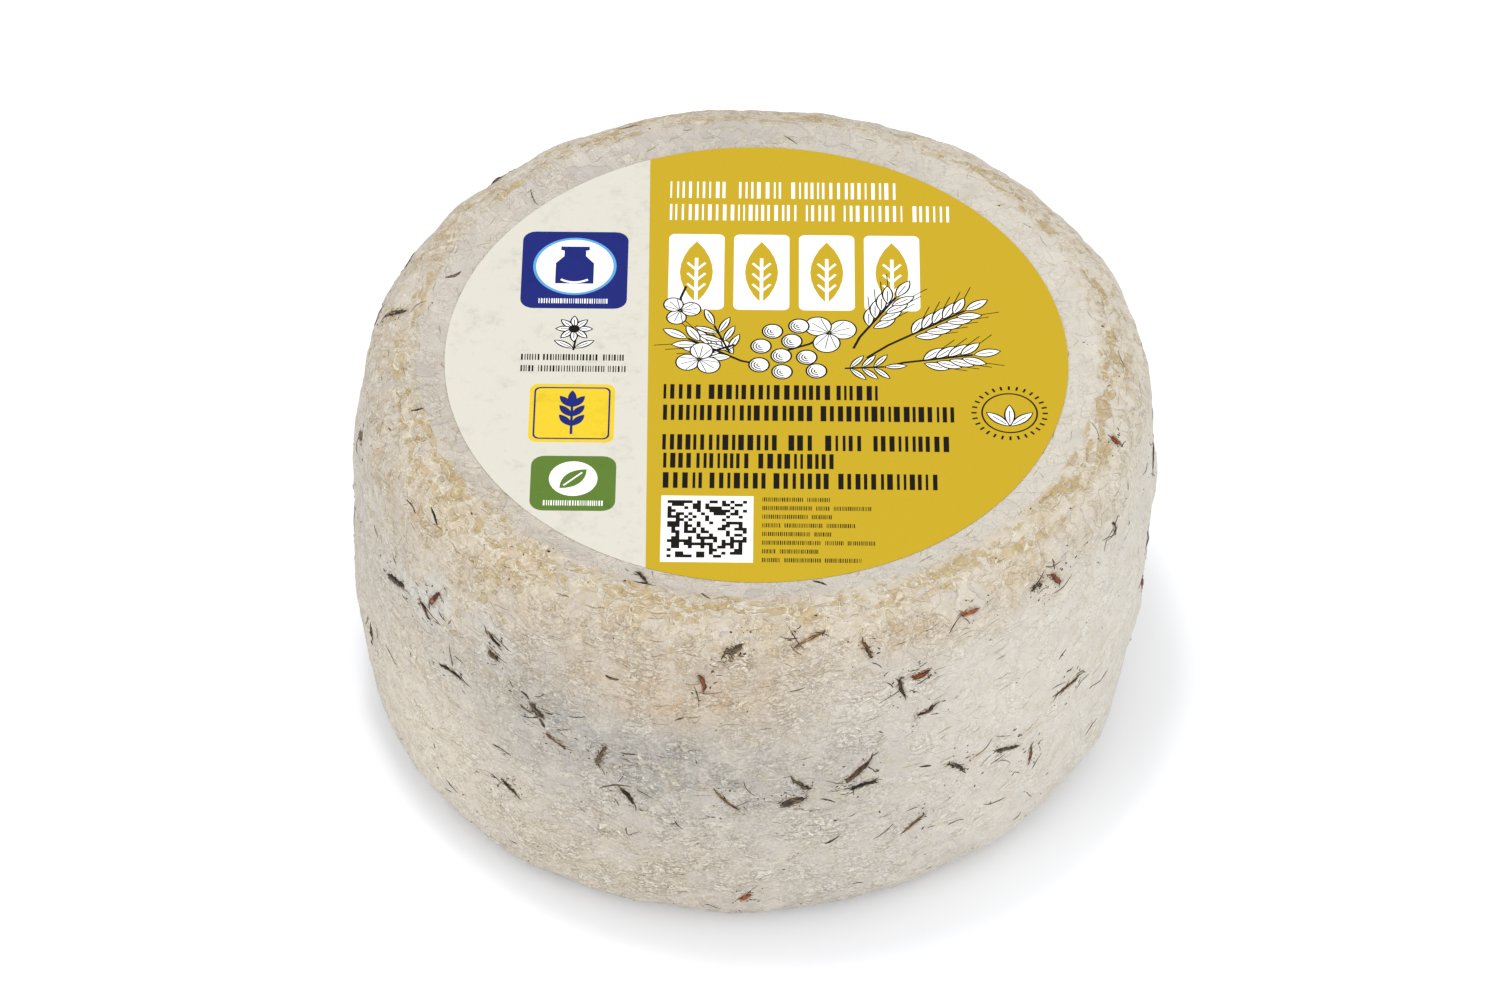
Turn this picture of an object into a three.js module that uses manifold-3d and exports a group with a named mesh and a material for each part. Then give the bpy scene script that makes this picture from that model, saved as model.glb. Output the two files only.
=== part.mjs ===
// A small wheel of hay milk cheese with herbs in its rind and a round paper label on top.
//
// The wheel stands on its flat base at z = 0, with +Z up and the origin under the middle of its box.
// A place on the rind is given by its bearing, the angle round the wheel from +X seen from above
// (the front is at 270 degrees), and its run, the distance along the surface from the middle of the
// top, out over the upper edge, down the wall and in under the lower edge.

import * as THREE from "three";
import Module from "manifold-3d";

// Driving sizes in millimetres.
const RADIUS = 92.5; // half way up, where the wall is widest
const HEIGHT = 99;
const EDGE_RADIUS = 12.5; // of the round upper and lower edges
const WALL_LEAN = THREE.MathUtils.degToRad(8.2); // of the barrel-shaped wall where it meets an edge
const SIDE_LEAN = 2; // the top sits this far to the right of the base
const LABEL_RADIUS = 70.7;
const LABEL_CENTRE = { x: 0.8, y: -2 };
const PAPER = 0.3;
const CLEARANCE = 0.3; // between the paper and the rind
const SEAT_RADIUS = 73.5; // of the smooth flat under the label
const SEAT_DEPTH = 0.8; // of that flat below the lip round it
const LIP_RADIUS = 78.5; // where the top is at its highest
const LABEL_SIDES = 120;

// Unevenness of the rind, a sum of waves that run in all directions over it.
const CRAG_WAVES = 16;
const CRAG_LENGTHS = [40, 12]; // of the longest and the shortest wave
const CRAG_STEEPNESS = 0.003; // height of a wave as a share of its length
const GOLDEN_ANGLE = Math.PI * (3 - Math.sqrt(5));
const TOP_FADE = 8; // the relief grows to its full height over this much of the top outside the seat
const BASE_FADE = 9; // and dies out over this much of the lower edge

// Hollows and swellings of the hand-turned wheel, by bearing and run, with their half widths.
const SWELLINGS = [
  { bearing: 88, run: 80, turn: 9, reach: 9, height: -1 }, // dip in the back rim
  { bearing: 354, run: 118, turn: 8, reach: 6, height: 0.9 }, // ridge on the right wall
  { bearing: 228, run: 176, turn: 28, reach: 12, height: 0.8 }, // full left heel
  { bearing: 300, run: 177, turn: 24, reach: 10, height: -0.9 }, // worn right heel
  { bearing: 262, run: 82, turn: 16, reach: 7, height: 0.4 }, // thick front lip
  { bearing: 30, run: 82, turn: 12, reach: 8, height: -0.4 },
];

// The grid that carries the rind, which is closed by a fan on the top and another on the base.
const COLUMNS = 108;
const ROWS = 27;

// The herbs: dark seeds, flat leaf flakes, brown husks and pale straws. Each is as long and wide as
// given, and stands proud of the rind by its own height.
const HERBS = {
  seed: { proud: 0.4, length: [4, 7.5], width: [0.8, 1.5] },
  leaf: { proud: 0.35, length: [3.5, 7], width: [1.2, 2.2] },
  husk: { proud: 0.45, length: [2.6, 5], width: [0.9, 1.5] },
  straw: { proud: 0.35, length: [5, 10], width: [0.6, 0.9] },
};
const HERB_SIDES = 5;
const HERB_RINGS = [-0.45, 0.45]; // along the half length
const HERB_TAPER = 0.12; // share of its girth that it has lost at those rings
const HERB_SUNK = 0.45; // depth of its underside in the rind
const HERB_TIP_SUNK = 0.15;

// The boldest herbs of the front, each with its bearing, run, length, width and slant. The slant is
// measured from level, and is positive where the right end is the higher one.
const FRONT_HERBS = [
  ["leaf", 209, 115, 8, 1.6, 18],
  ["husk", 219, 107, 6.8, 1.2, 62],
  ["seed", 217, 113, 5.3, 0.8, -41],
  ["seed", 231, 106, 5.4, 0.8, -28],
  ["seed", 251, 76, 5.3, 0.9, -41],
  ["husk", 318, 96, 5.9, 1.2, -58],
  ["leaf", 314, 94, 3.1, 1.2, 0],
  ["husk", 302, 91, 4.7, 0.8, -6],
  ["husk", 342, 85, 3, 1.2, -90],
  ["seed", 333, 99, 4.1, 0.8, -79],
  ["straw", 278, 88, 8.1, 0.6, 22],
  ["seed", 223, 125, 9, 0.8, 3],
  ["leaf", 239, 120, 4.7, 1.9, -40],
  ["leaf", 231, 111, 3.2, 1.4, 0],
  ["seed", 242, 127, 5.8, 0.8, -26],
  ["seed", 234, 151, 5.8, 0.8, -26],
  ["leaf", 249, 127, 7.8, 1.2, 75],
  ["seed", 253, 138, 5.8, 1.2, -51],
  ["straw", 267, 135, 8.6, 0.7, -49],
  ["husk", 263, 99, 5.2, 0.9, -73],
  ["leaf", 267, 90, 4.1, 1.4, 21],
  ["husk", 270, 170, 3.7, 1.4, 42],
  ["seed", 286, 92, 5.4, 0.9, -69],
  ["seed", 291, 105, 6.7, 0.8, -76],
  ["husk", 294, 103, 4.8, 1.2, 6],
  ["seed", 295, 114, 6.3, 0.8, 18],
  ["straw", 321, 133, 10.9, 0.7, -5],
  ["leaf", 309, 139, 7.9, 1, -22],
  ["seed", 314, 147, 7, 0.8, 87],
  ["seed", 285, 128, 8.5, 1.6, 45],
  ["leaf", 286, 133, 6.5, 1, 4],
  ["leaf", 300, 136, 8, 1.2, -49],
  ["leaf", 276, 135, 5.5, 2.1, 27],
  ["leaf", 277, 129, 6.6, 1, -43],
  ["seed", 294, 151, 7.6, 0.8, 32],
];

// The herbs of the sides and the back, which a seeded rule spreads with room between them.
const SPREAD_HERBS = 64;
const SPREAD_SEED = 2611;
const SPREAD_FROM = 345; // bearing where the stretch of rind without front herbs begins
const SPREAD_TURN = 215; // and how far it goes round
const SPREAD_RUN = [80, 176];
const SPREAD_BELT = 134; // run of the middle of the wall, where herbs lie thickest
const SPREAD_PULL = 0.5; // how far towards that belt a herb is drawn at most
const SPREAD_ROOM = 8; // from the middle of one herb to the next
const SPREAD_KINDS = ["seed", "leaf", "seed", "husk", "leaf", "straw"];

const RIND = { color: 0xcfc5b4, roughness: 0.85 };
const PRINTED_PAPER = { color: 0xd3b22f, roughness: 0.6 };

const halfWall = HEIGHT / 2 - EDGE_RADIUS * (1 - Math.sin(WALL_LEAN));
const barrel = (halfWall * Math.tan(WALL_LEAN)) / 2;
const flatRadius = RADIUS - barrel - EDGE_RADIUS * Math.cos(WALL_LEAN);
const edgeTurn = Math.PI / 2 - WALL_LEAN;
const upperEdgeRun = flatRadius;
const wallRun = upperEdgeRun + EDGE_RADIUS * edgeTurn;
const lowerEdgeRun = wallRun + 2 * halfWall;
const baseRun = lowerEdgeRun + EDGE_RADIUS * edgeTurn;
const endRun = baseRun + flatRadius; // in the middle of the base

const { clamp, degToRad, lerp, smoothstep } = THREE.MathUtils;

// Radius and height of the even wheel at a run, and the lean of its surface there: 0 where it faces
// up and pi where it faces down.
function section(run) {
  const upper = clamp((run - upperEdgeRun) / EDGE_RADIUS, 0, edgeTurn);
  const down = clamp(run - wallRun, 0, 2 * halfWall);
  const lower = clamp((run - lowerEdgeRun) / EDGE_RADIUS, 0, edgeTurn);
  const level = 1 - down / halfWall;
  const seat = SEAT_DEPTH * (1 - smoothstep(run, SEAT_RADIUS, LIP_RADIUS));
  return {
    radius:
      Math.min(run, upperEdgeRun) +
      EDGE_RADIUS * Math.sin(upper) +
      barrel * (1 - level * level) -
      EDGE_RADIUS * (Math.cos(WALL_LEAN) - Math.cos(WALL_LEAN + lower)) -
      Math.max(run - baseRun, 0),
    height:
      HEIGHT -
      EDGE_RADIUS * (1 - Math.cos(upper)) -
      down -
      EDGE_RADIUS * (Math.sin(WALL_LEAN + lower) - Math.sin(WALL_LEAN)) -
      seat,
    lean: upper + (WALL_LEAN * down) / halfWall + lower,
  };
}

// Height of the crags. Each wave goes round the wheel a whole number of times, so that it closes.
function crags(bearing, run) {
  let height = 0;
  for (let k = 0; k < CRAG_WAVES; k++) {
    const length = lerp(...CRAG_LENGTHS, k / (CRAG_WAVES - 1));
    const heading = GOLDEN_ANGLE * k;
    const around = Math.round((2 * Math.PI * RADIUS * Math.cos(heading)) / length);
    const along = (2 * Math.PI * Math.sin(heading)) / length;
    height += CRAG_STEEPNESS * length * Math.cos(around * bearing + along * run + k * k);
  }
  return height;
}

function swellings(bearing, run) {
  let height = 0;
  for (const each of SWELLINGS) {
    const away = bearing - degToRad(each.bearing);
    const turned = Math.atan2(Math.sin(away), Math.cos(away)) / degToRad(each.turn);
    const ran = (run - each.run) / each.reach;
    height += each.height * Math.exp(-turned * turned - ran * ran);
  }
  return height;
}

// Height of the rind over the even wheel, which fades out to the flats under the label and the base.
function relief(bearing, run) {
  const grown = smoothstep(run, SEAT_RADIUS, SEAT_RADIUS + TOP_FADE);
  const left = 1 - smoothstep(run, baseRun - BASE_FADE, baseRun);
  return grown * left * (crags(bearing, run) + swellings(bearing, run));
}

// The point that is lifted off the rind at a bearing and run.
function rindPoint(bearing, run, lift = 0) {
  const { radius, height, lean } = section(run);
  const raised = relief(bearing, run) + lift;
  const r = radius + raised * Math.sin(lean);
  const z = Math.max(height + raised * Math.cos(lean), 0);
  const sideways = SIDE_LEAN * (z / HEIGHT - 0.5);
  return new THREE.Vector3(r * Math.cos(bearing) + sideways, r * Math.sin(bearing), z);
}

// A closed mesh from rings of points that run from a first pole to a last one.
function closedRings(first, rings, last) {
  const sides = rings[0].length;
  const points = [first, ...rings.flat(), last];
  const end = points.length - 1;
  const faces = [];
  for (let side = 0; side < sides; side++) {
    const next = (side + 1) % sides;
    faces.push(0, 1 + side, 1 + next);
    for (let ring = 0; ring + 1 < rings.length; ring++) {
      const here = 1 + ring * sides;
      const below = here + sides;
      faces.push(here + side, below + side, here + next);
      faces.push(here + next, below + side, below + next);
    }
    const lastRing = 1 + (rings.length - 1) * sides;
    faces.push(lastRing + side, end, lastRing + next);
  }
  const geometry = new THREE.BufferGeometry().setFromPoints(points);
  geometry.setIndex(faces);
  return geometry;
}

function rindShell() {
  const rings = [];
  for (let row = 0; row <= ROWS; row++) {
    const run = lerp(SEAT_RADIUS, baseRun, row / ROWS);
    const ring = [];
    for (let column = 0; column < COLUMNS; column++) {
      ring.push(rindPoint((2 * Math.PI * column) / COLUMNS, run));
    }
    rings.push(ring);
  }
  return closedRings(rindPoint(0, 0), rings, rindPoint(0, endRun));
}

// One herb, a slim spindle that follows the rind and is sunk in it along its underside and ends.
function herbShell([kind, bearingDegrees, run, length, width, slantDegrees]) {
  const bearing = degToRad(bearingDegrees);
  const slant = degToRad(slantDegrees);
  const { radius } = section(run);
  const at = (along, across, lift) =>
    rindPoint(
      bearing + (along * Math.cos(slant) - across * Math.sin(slant)) / radius,
      run - along * Math.sin(slant) - across * Math.cos(slant),
      lift,
    );
  const half = length / 2;
  const rings = HERB_RINGS.map((share) => {
    const girth = 1 - HERB_TAPER;
    const ring = [];
    for (let side = 0; side < HERB_SIDES; side++) {
      const turn = Math.PI / 2 - (2 * Math.PI * side) / HERB_SIDES;
      const tall = Math.sin(turn) > 0 ? HERBS[kind].proud : HERB_SUNK;
      ring.push(at(share * half, (girth * width * Math.cos(turn)) / 2, girth * tall * Math.sin(turn)));
    }
    return ring;
  });
  return closedRings(at(-half, 0, -HERB_TIP_SUNK), rings, at(half, 0, -HERB_TIP_SUNK));
}

// A seeded run of even draws from 0 to 1, each worked out from the last.
function drawer(seed) {
  const multiplier = 16807;
  const modulus = 2147483647;
  let state = seed;
  return () => {
    state = (state * multiplier) % modulus;
    return state / modulus;
  };
}

function spreadHerbs() {
  const draw = drawer(SPREAD_SEED);
  const within = ([low, high]) => low + (high - low) * draw();
  const herbs = [];
  while (herbs.length < SPREAD_HERBS) {
    const kind = SPREAD_KINDS[herbs.length % SPREAD_KINDS.length];
    const bearing = SPREAD_FROM + SPREAD_TURN * draw();
    const anyRun = within(SPREAD_RUN);
    const run = lerp(anyRun, SPREAD_BELT, SPREAD_PULL * draw());
    const length = within(HERBS[kind].length);
    const width = within(HERBS[kind].width);
    const slant = 180 * draw() - 90;
    const clear = herbs.every(([, otherBearing, otherRun]) => {
      const across = degToRad(bearing - otherBearing) * RADIUS;
      return Math.hypot(across, run - otherRun) > SPREAD_ROOM;
    });
    if (clear) herbs.push([kind, bearing, run, length, width, slant]);
  }
  return herbs;
}

const wasm = await Module();
wasm.setup();

function solidOf(geometry) {
  return new wasm.Manifold(
    new wasm.Mesh({
      numProp: 3,
      vertProperties: geometry.getAttribute("position").array,
      triVerts: new Uint32Array(geometry.index.array),
    }),
  );
}

function geometryOf(solid) {
  const mesh = solid.getMesh();
  const geometry = new THREE.BufferGeometry();
  geometry.setAttribute("position", new THREE.BufferAttribute(mesh.vertProperties, 3));
  geometry.setIndex(new THREE.BufferAttribute(mesh.triVerts, 1));
  return geometry;
}

// The whole wheel: the rind with every herb fused to it.
function wheelGeometry() {
  let wheel = solidOf(rindShell());
  for (const herb of [...FRONT_HERBS, ...spreadHerbs()]) {
    wheel = wheel.add(solidOf(herbShell(herb)));
  }
  return geometryOf(wheel);
}

// The label is a disc of stiff paper that lies level on its seat.
function labelGeometry() {
  const disc = new THREE.CylinderGeometry(LABEL_RADIUS, LABEL_RADIUS, PAPER, LABEL_SIDES);
  disc.rotateX(Math.PI / 2);
  const middle = HEIGHT - SEAT_DEPTH + CLEARANCE + PAPER / 2;
  return disc.translate(LABEL_CENTRE.x, LABEL_CENTRE.y, middle);
}

function named(name, geometry, finish) {
  geometry.computeVertexNormals();
  const mesh = new THREE.Mesh(geometry, new THREE.MeshStandardMaterial(finish));
  mesh.name = name;
  return mesh;
}

const wheel = wheelGeometry();
wheel.computeBoundingBox();
const middle = wheel.boundingBox.getCenter(new THREE.Vector3());

const cheese = new THREE.Group();
cheese.add(named("cheese_wheel", wheel, RIND));
cheese.add(named("label", labelGeometry(), PRINTED_PAPER));
for (const mesh of cheese.children) mesh.geometry.translate(-middle.x, -middle.y, 0);

export default cheese;
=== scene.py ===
from functools import partialmethod
from math import acos, cos, degrees, floor, hypot, pi, radians, sin, sqrt, tan

import bpy
from mathutils import Matrix, Vector, geometry, kdtree


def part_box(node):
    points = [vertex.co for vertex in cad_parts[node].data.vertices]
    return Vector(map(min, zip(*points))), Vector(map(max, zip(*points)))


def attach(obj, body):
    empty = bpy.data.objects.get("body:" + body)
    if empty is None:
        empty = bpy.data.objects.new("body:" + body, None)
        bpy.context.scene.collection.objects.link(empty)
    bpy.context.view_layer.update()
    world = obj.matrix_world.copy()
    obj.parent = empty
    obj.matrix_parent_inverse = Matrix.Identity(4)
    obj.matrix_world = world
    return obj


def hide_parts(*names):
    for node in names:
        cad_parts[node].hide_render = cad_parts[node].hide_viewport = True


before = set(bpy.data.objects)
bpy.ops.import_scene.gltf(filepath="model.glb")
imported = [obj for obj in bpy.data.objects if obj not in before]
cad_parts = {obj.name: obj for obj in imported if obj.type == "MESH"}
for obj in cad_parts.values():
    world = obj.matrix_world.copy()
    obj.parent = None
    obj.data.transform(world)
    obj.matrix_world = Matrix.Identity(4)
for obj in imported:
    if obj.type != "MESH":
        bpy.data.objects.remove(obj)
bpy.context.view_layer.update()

# The camera looks down on the front of the wheel through a long lens, from the photograph's height
# and distance. It aims a hair beside the wheel's middle and is turned a little, as the photograph is.
WHEEL_RADIUS = 92.5  # millimetres, as are all sizes here; only meshes and places are in metres
WHEEL_HEIGHT = 99.0
MM = 0.001
LABEL_OFFSET = Vector((0.8, -2.0, 0.0)) * MM  # of the label from the wheel's axis
VIEW_TILT = radians(45.5)  # down from level
VIEW_ROLL = radians(0.54)
VIEW_DISTANCE = 15 * WHEEL_RADIUS * MM
AIM_RIGHT = -0.37 * MM  # of the aim from the wheel's middle, across the picture and up it
AIM_UP = 0.51 * MM

label_low, label_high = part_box("label")
wheel_axis = (label_low + label_high) / 2 - LABEL_OFFSET
wheel_axis.z = 0.0
wheel_middle = wheel_axis + Vector((0.0, 0.0, WHEEL_HEIGHT / 2 * MM))


def new_object(name, data):
    """An object of this name in the scene."""
    made = bpy.data.objects.new(name, data)
    bpy.context.scene.collection.objects.link(made)
    return made


camera = new_object("camera", bpy.data.cameras.new("camera"))
camera.data.lens = 142.96
camera.data.sensor_width = 36.0
camera.data.clip_end = 20.0
camera.matrix_world = (
    Matrix.Translation(wheel_middle)
    @ Matrix.Rotation(pi / 2 - VIEW_TILT, 4, "X")
    @ Matrix.Translation((AIM_RIGHT, AIM_UP, VIEW_DISTANCE))
    @ Matrix.Rotation(VIEW_ROLL, 4, "Z")
)
bpy.context.scene.camera = camera
bpy.context.scene.view_settings.view_transform = "Standard"


# The wheel is curd pressed in a round mould and ripened dry: a barrel with soft edges and a natural
# rind all over. The rind is worked out on a flat map, whose sides are the bearing round the wheel, from
# +X seen from above, and the run along its surface from the middle of the top to that of the base.
class Field:
    """What one socket of a node tree gives. Arithmetic on it adds the nodes that work it out."""

    def __init__(self, socket):
        self.socket = socket

    @staticmethod
    def node(tree, kind, settings, inputs):
        """A new node. Its settings are set first, and then its sockets, by their name or place."""
        made = tree.nodes.new(kind)
        for name, value in settings.items():
            setattr(made, name, value)
        for place, value in inputs.items():
            if isinstance(value, Field):
                tree.links.new(value.socket, made.inputs[place])
            else:
                made.inputs[place].default_value = value
        return made

    def beside(self, kind, settings, inputs, output=0):
        """What another node of the same tree gives."""
        return Field(Field.node(self.socket.id_data, kind, settings, inputs).outputs[output])

    def worked(self, operation, *others, first=None):
        """This and the others through one Math node, or Vector Math where one of them is a vector."""
        parts = (self, *others) if first is None else (first, self)
        vectors = [isinstance(part, tuple) or getattr(part, "is_vector", False) for part in parts]
        kind = "ShaderNodeVectorMath" if any(vectors) else "ShaderNodeMath"
        inputs = dict(enumerate(parts))
        if operation == "MULTIPLY" and any(vectors) and not all(vectors):
            vector, number = parts if vectors[0] else reversed(parts)
            operation = "SCALE"
            inputs = {0: vector, "Scale": number}
        output = "Value" if operation == "DISTANCE" else 0
        return self.beside(kind, {"operation": operation}, inputs, output)

    @property
    def is_vector(self):
        return self.socket.type in ("VECTOR", "RGBA")

    __add__ = partialmethod(worked, "ADD")
    __sub__ = partialmethod(worked, "SUBTRACT")
    __mul__ = partialmethod(worked, "MULTIPLY")
    __truediv__ = partialmethod(worked, "DIVIDE")
    __pow__ = partialmethod(worked, "POWER")

    def __rsub__(self, other):
        return self.worked("SUBTRACT", first=other)

    def clamped(self, low=0.0, high=1.0):
        return self.beside("ShaderNodeClamp", {}, {"Value": self, "Min": low, "Max": high})

    def eased(self, low, high):
        """A smooth step from 0 at low to 1 at high."""
        settings = {"interpolation_type": "SMOOTHSTEP"}
        ends = (low, high, 0.0, 1.0) if low < high else (high, low, 1.0, 0.0)
        names = ("From Min", "From Max", "To Min", "To Max")
        return self.beside("ShaderNodeMapRange", settings, {"Value": self, **dict(zip(names, ends))})

    def part(self, axis):
        return self.beside("ShaderNodeSeparateXYZ", {}, {0: self}, axis)

    def cloud(self, size, detail=2.0, roughness=0.5, apart=0.0, stretch=(1.0, 1.0, 1.0)):
        """Noise of this size about this place, mostly from -1 to 1."""
        place = self * tuple(1 / side for side in stretch) + (apart, apart, apart)
        inputs = {"Vector": place, "Scale": 1 / size, "Detail": detail, "Roughness": roughness}
        return (self.beside("ShaderNodeTexNoise", {}, inputs) - 0.5) * 4.0

    def cells(self, size, feature="F1", apart=0.0):
        """Voronoi cells of this size about this place."""
        inputs = {"Vector": self + (apart, apart, apart), "Scale": 1 / size}
        return self.beside("ShaderNodeTexVoronoi", {"feature": feature}, inputs, "Distance")

    def blended(self, first, second):
        """A colour from first to second as this goes from 0 to 1, and no further."""
        inputs = {0: self, 6: first, 7: second}
        return self.beside("ShaderNodeMix", {"data_type": "RGBA"}, inputs, 2)


def joined(x, y, z):
    return x.beside("ShaderNodeCombineXYZ", {}, {0: x, 1: y, 2: z})


def sway(place, size, apart, step, detail=2.0):
    """A vector of three clouds, which pushes a pattern out of line where it is added to its place."""
    return joined(*(place.cloud(size, detail=detail, apart=apart + step * axis) for axis in range(3)))


def feed(node, **fields):
    """Links each field to the input of the node that has its name."""
    for label, field in fields.items():
        node.id_data.links.new(field.socket, node.inputs[label.replace("_", " ")])


def new_tree(name, inputs, outputs):
    """A Geometry Nodes tree, with its inputs as fields and the node that takes its outputs."""
    tree = bpy.data.node_groups.new(name, "GeometryNodeTree")
    kinds = {float: "NodeSocketFloat", int: "NodeSocketInt", Vector: "NodeSocketVector"}
    for label, (kind, value) in inputs.items():
        socket = tree.interface.new_socket(label, in_out="INPUT", socket_type=kinds.get(kind, kind))
        if value is not None:
            socket.default_value = value
    for label, kind in outputs.items():
        tree.interface.new_socket(label, in_out="OUTPUT", socket_type=kinds.get(kind, kind))
    given = tree.nodes.new("NodeGroupInput")
    fields = {label: Field(given.outputs[label]) for label in inputs}
    return tree, fields, tree.nodes.new("NodeGroupOutput")


EDGE_RADIUS = 12.5
WALL_LEAN = radians(8.2)  # of the barrel-shaped wall where it meets a round edge
SIDE_LEAN = 2.0  # the top sits this far to the right of the base
SEAT_RADIUS = 73.5  # of the flat that the label lies on
SEAT_DEPTH = 0.56  # of that flat below the lip round it
LIP_RADIUS = 78.5
TOP_FADE = 8.0
BASE_FADE = 9.0
CRAG_WAVES = 16
CRAG_LENGTHS = (40.0, 12.0)
CRAG_STEEPNESS = 0.003
GOLDEN_ANGLE = pi * (3 - sqrt(5))
LUMP_HEIGHT = 0.25
CURD_HEIGHT = 0.45
CURD_LEVEL = 0.45  # how far the middle of a curd lies from its edges, as a share of its size
GROOVE_HEIGHT = 0.09
BASE_HOLLOW = 0.25

# Each hollow or swelling has a bearing, a run, its half widths in degrees and millimetres, and a height.
SWELLINGS = (
    (88, 80, 9, 9, -1.0), (354, 118, 8, 6, 0.9), (228, 176, 28, 12, 0.8),
    (300, 177, 24, 10, -0.9), (262, 82, 16, 7, 0.4), (30, 82, 12, 8, -0.4),
)

half_wall = WHEEL_HEIGHT / 2 - EDGE_RADIUS * (1 - sin(WALL_LEAN))
barrel = half_wall * tan(WALL_LEAN) / 2
flat_radius = WHEEL_RADIUS - barrel - EDGE_RADIUS * cos(WALL_LEAN)
edge_turn = pi / 2 - WALL_LEAN
wall_run = flat_radius + EDGE_RADIUS * edge_turn
lower_edge_run = wall_run + 2 * half_wall
base_run = lower_edge_run + EDGE_RADIUS * edge_turn
end_run = base_run + flat_radius


def between(ends, share):
    return ends[0] + (ends[1] - ends[0]) * share


def crags(bearing, run):
    """Waves that run over the rind in all directions, each shorter and lower than the last."""
    total = 0.0
    for k in range(CRAG_WAVES):
        length = between(CRAG_LENGTHS, k / (CRAG_WAVES - 1))
        heading = GOLDEN_ANGLE * k
        around = floor(2 * pi * WHEEL_RADIUS * cos(heading) / length + 0.5)
        along = 2 * pi * sin(heading) / length
        wave = (bearing * around + run * along + k * k).worked("COSINE")
        total = wave * (CRAG_STEEPNESS * length) + total
    return total


def swellings(bearing, run):
    total = 0.0
    for toward, middle, turn, reach, height in SWELLINGS:
        away = bearing - radians(toward)
        away = away.worked("SINE").worked("ARCTAN2", away.worked("COSINE"))
        turned_by = away / radians(turn)
        run_by = (run - middle) / reach
        power = (turned_by * turned_by + run_by * run_by) * -1.0
        total = power.worked("EXPONENT") * height + total
    return total


form, given, form_out = new_tree(
    "Rind form",
    {"Bearing": (float, 0.0), "Run": (float, 0.0), "Lift": (float, 0.0)},
    {"Position": Vector, "Crag": float, "Even": Vector, "Radius": float},
)
bearing, run, lift = given["Bearing"], given["Run"], given["Lift"]
cosine = bearing.worked("COSINE")
sine = bearing.worked("SINE")

upper = ((run - flat_radius) / EDGE_RADIUS).clamped(0.0, edge_turn)
down = (run - wall_run).clamped(0.0, 2 * half_wall)
lower = ((run - lower_edge_run) / EDGE_RADIUS).clamped(0.0, edge_turn)
level = 1.0 - down / half_wall
dished = (1.0 - run.eased(SEAT_RADIUS, LIP_RADIUS)) * SEAT_DEPTH
lean = upper + down * (WALL_LEAN / half_wall) + lower
even_radius = (
    run.worked("MINIMUM", flat_radius)
    + upper.worked("SINE") * EDGE_RADIUS
    + (1.0 - level * level) * barrel
    - (cos(WALL_LEAN) - (lower + WALL_LEAN).worked("COSINE")) * EDGE_RADIUS
    - (run - base_run).worked("MAXIMUM", 0.0)
)
even_height = (
    WHEEL_HEIGHT
    - (1.0 - upper.worked("COSINE")) * EDGE_RADIUS
    - down
    - ((lower + WALL_LEAN).worked("SINE") - sin(WALL_LEAN)) * EDGE_RADIUS
    - dished
)
even = joined(even_radius * cosine, even_radius * sine, even_height)

grown = run.eased(SEAT_RADIUS, SEAT_RADIUS + TOP_FADE) * run.eased(base_run, base_run - BASE_FADE)
on_wall = run.eased(wall_run - 6.0, wall_run + 4.0) * run.eased(lower_edge_run + 6.0, lower_edge_run)
worn = run.eased(SEAT_RADIUS - 2.0, SEAT_RADIUS + 4.0) * run.eased(base_run, base_run - 5.0)
curd = CURD_LEVEL - (even + sway(even, 4.0, 31.0, 26.0)).cells(3.4, "SMOOTH_F1")
grooves = even.cloud(2.2, stretch=(7.0, 7.0, 1.0), apart=11.0)
fine = even.cloud(7.0, detail=1.0) * LUMP_HEIGHT + curd * CURD_HEIGHT + grooves * on_wall * GROOVE_HEIGHT
raised = (crags(bearing, run) + swellings(bearing, run)) * grown + fine * worn + lift

outward = even_radius + raised * lean.worked("SINE")
upward = even_height + raised * lean.worked("COSINE")
hollow = even.cloud(5.0, apart=7.0).clamped() * run.eased(base_run, base_run + 4.0) * BASE_HOLLOW
upward = upward.worked("MAXIMUM", 0.0) + hollow
sideways = (upward / WHEEL_HEIGHT - 0.5) * SIDE_LEAN
placed = joined(outward * cosine + sideways, outward * sine, upward) * MM + tuple(wheel_axis)
feed(form_out, Position=placed, Crag=fine, Even=even, Radius=even_radius)


def on_rind(bearing, run, lift=0.0, output="Position"):
    """What the form of the rind gives for this bearing, run and lift."""
    inputs = {"Bearing": bearing, "Run": run, "Lift": lift}
    return bearing.beside("GeometryNodeGroup", {"node_tree": form}, inputs, output)


def stored(shape, name, value):
    """The shape with the value written to each of its points under this name."""
    settings = {"data_type": "FLOAT_VECTOR" if value.is_vector else "FLOAT"}
    inputs = {"Geometry": shape, "Name": name, "Value": value}
    return shape.beside("GeometryNodeStoreNamedAttribute", settings, inputs, "Geometry")


def grid_in(columns, rows):
    """A grid one unit wide and tall, and the field of the places of its points."""
    inputs = {"Size X": 1.0, "Size Y": 1.0, "Vertices X": columns, "Vertices Y": rows}
    grid = columns.beside("GeometryNodeMeshGrid", {}, inputs, "Mesh")
    return grid, columns.beside("GeometryNodeInputPosition", {}, {})


def moved(shape, place, merged=None):
    """The shape with its points at these places, and one point where several are this close."""
    shape = shape.beside("GeometryNodeSetPosition", {}, {"Geometry": shape, "Position": place})
    if merged:
        shape = shape.beside("GeometryNodeMergeByDistance", {}, {"Geometry": shape, "Distance": merged})
    return shape


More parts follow.
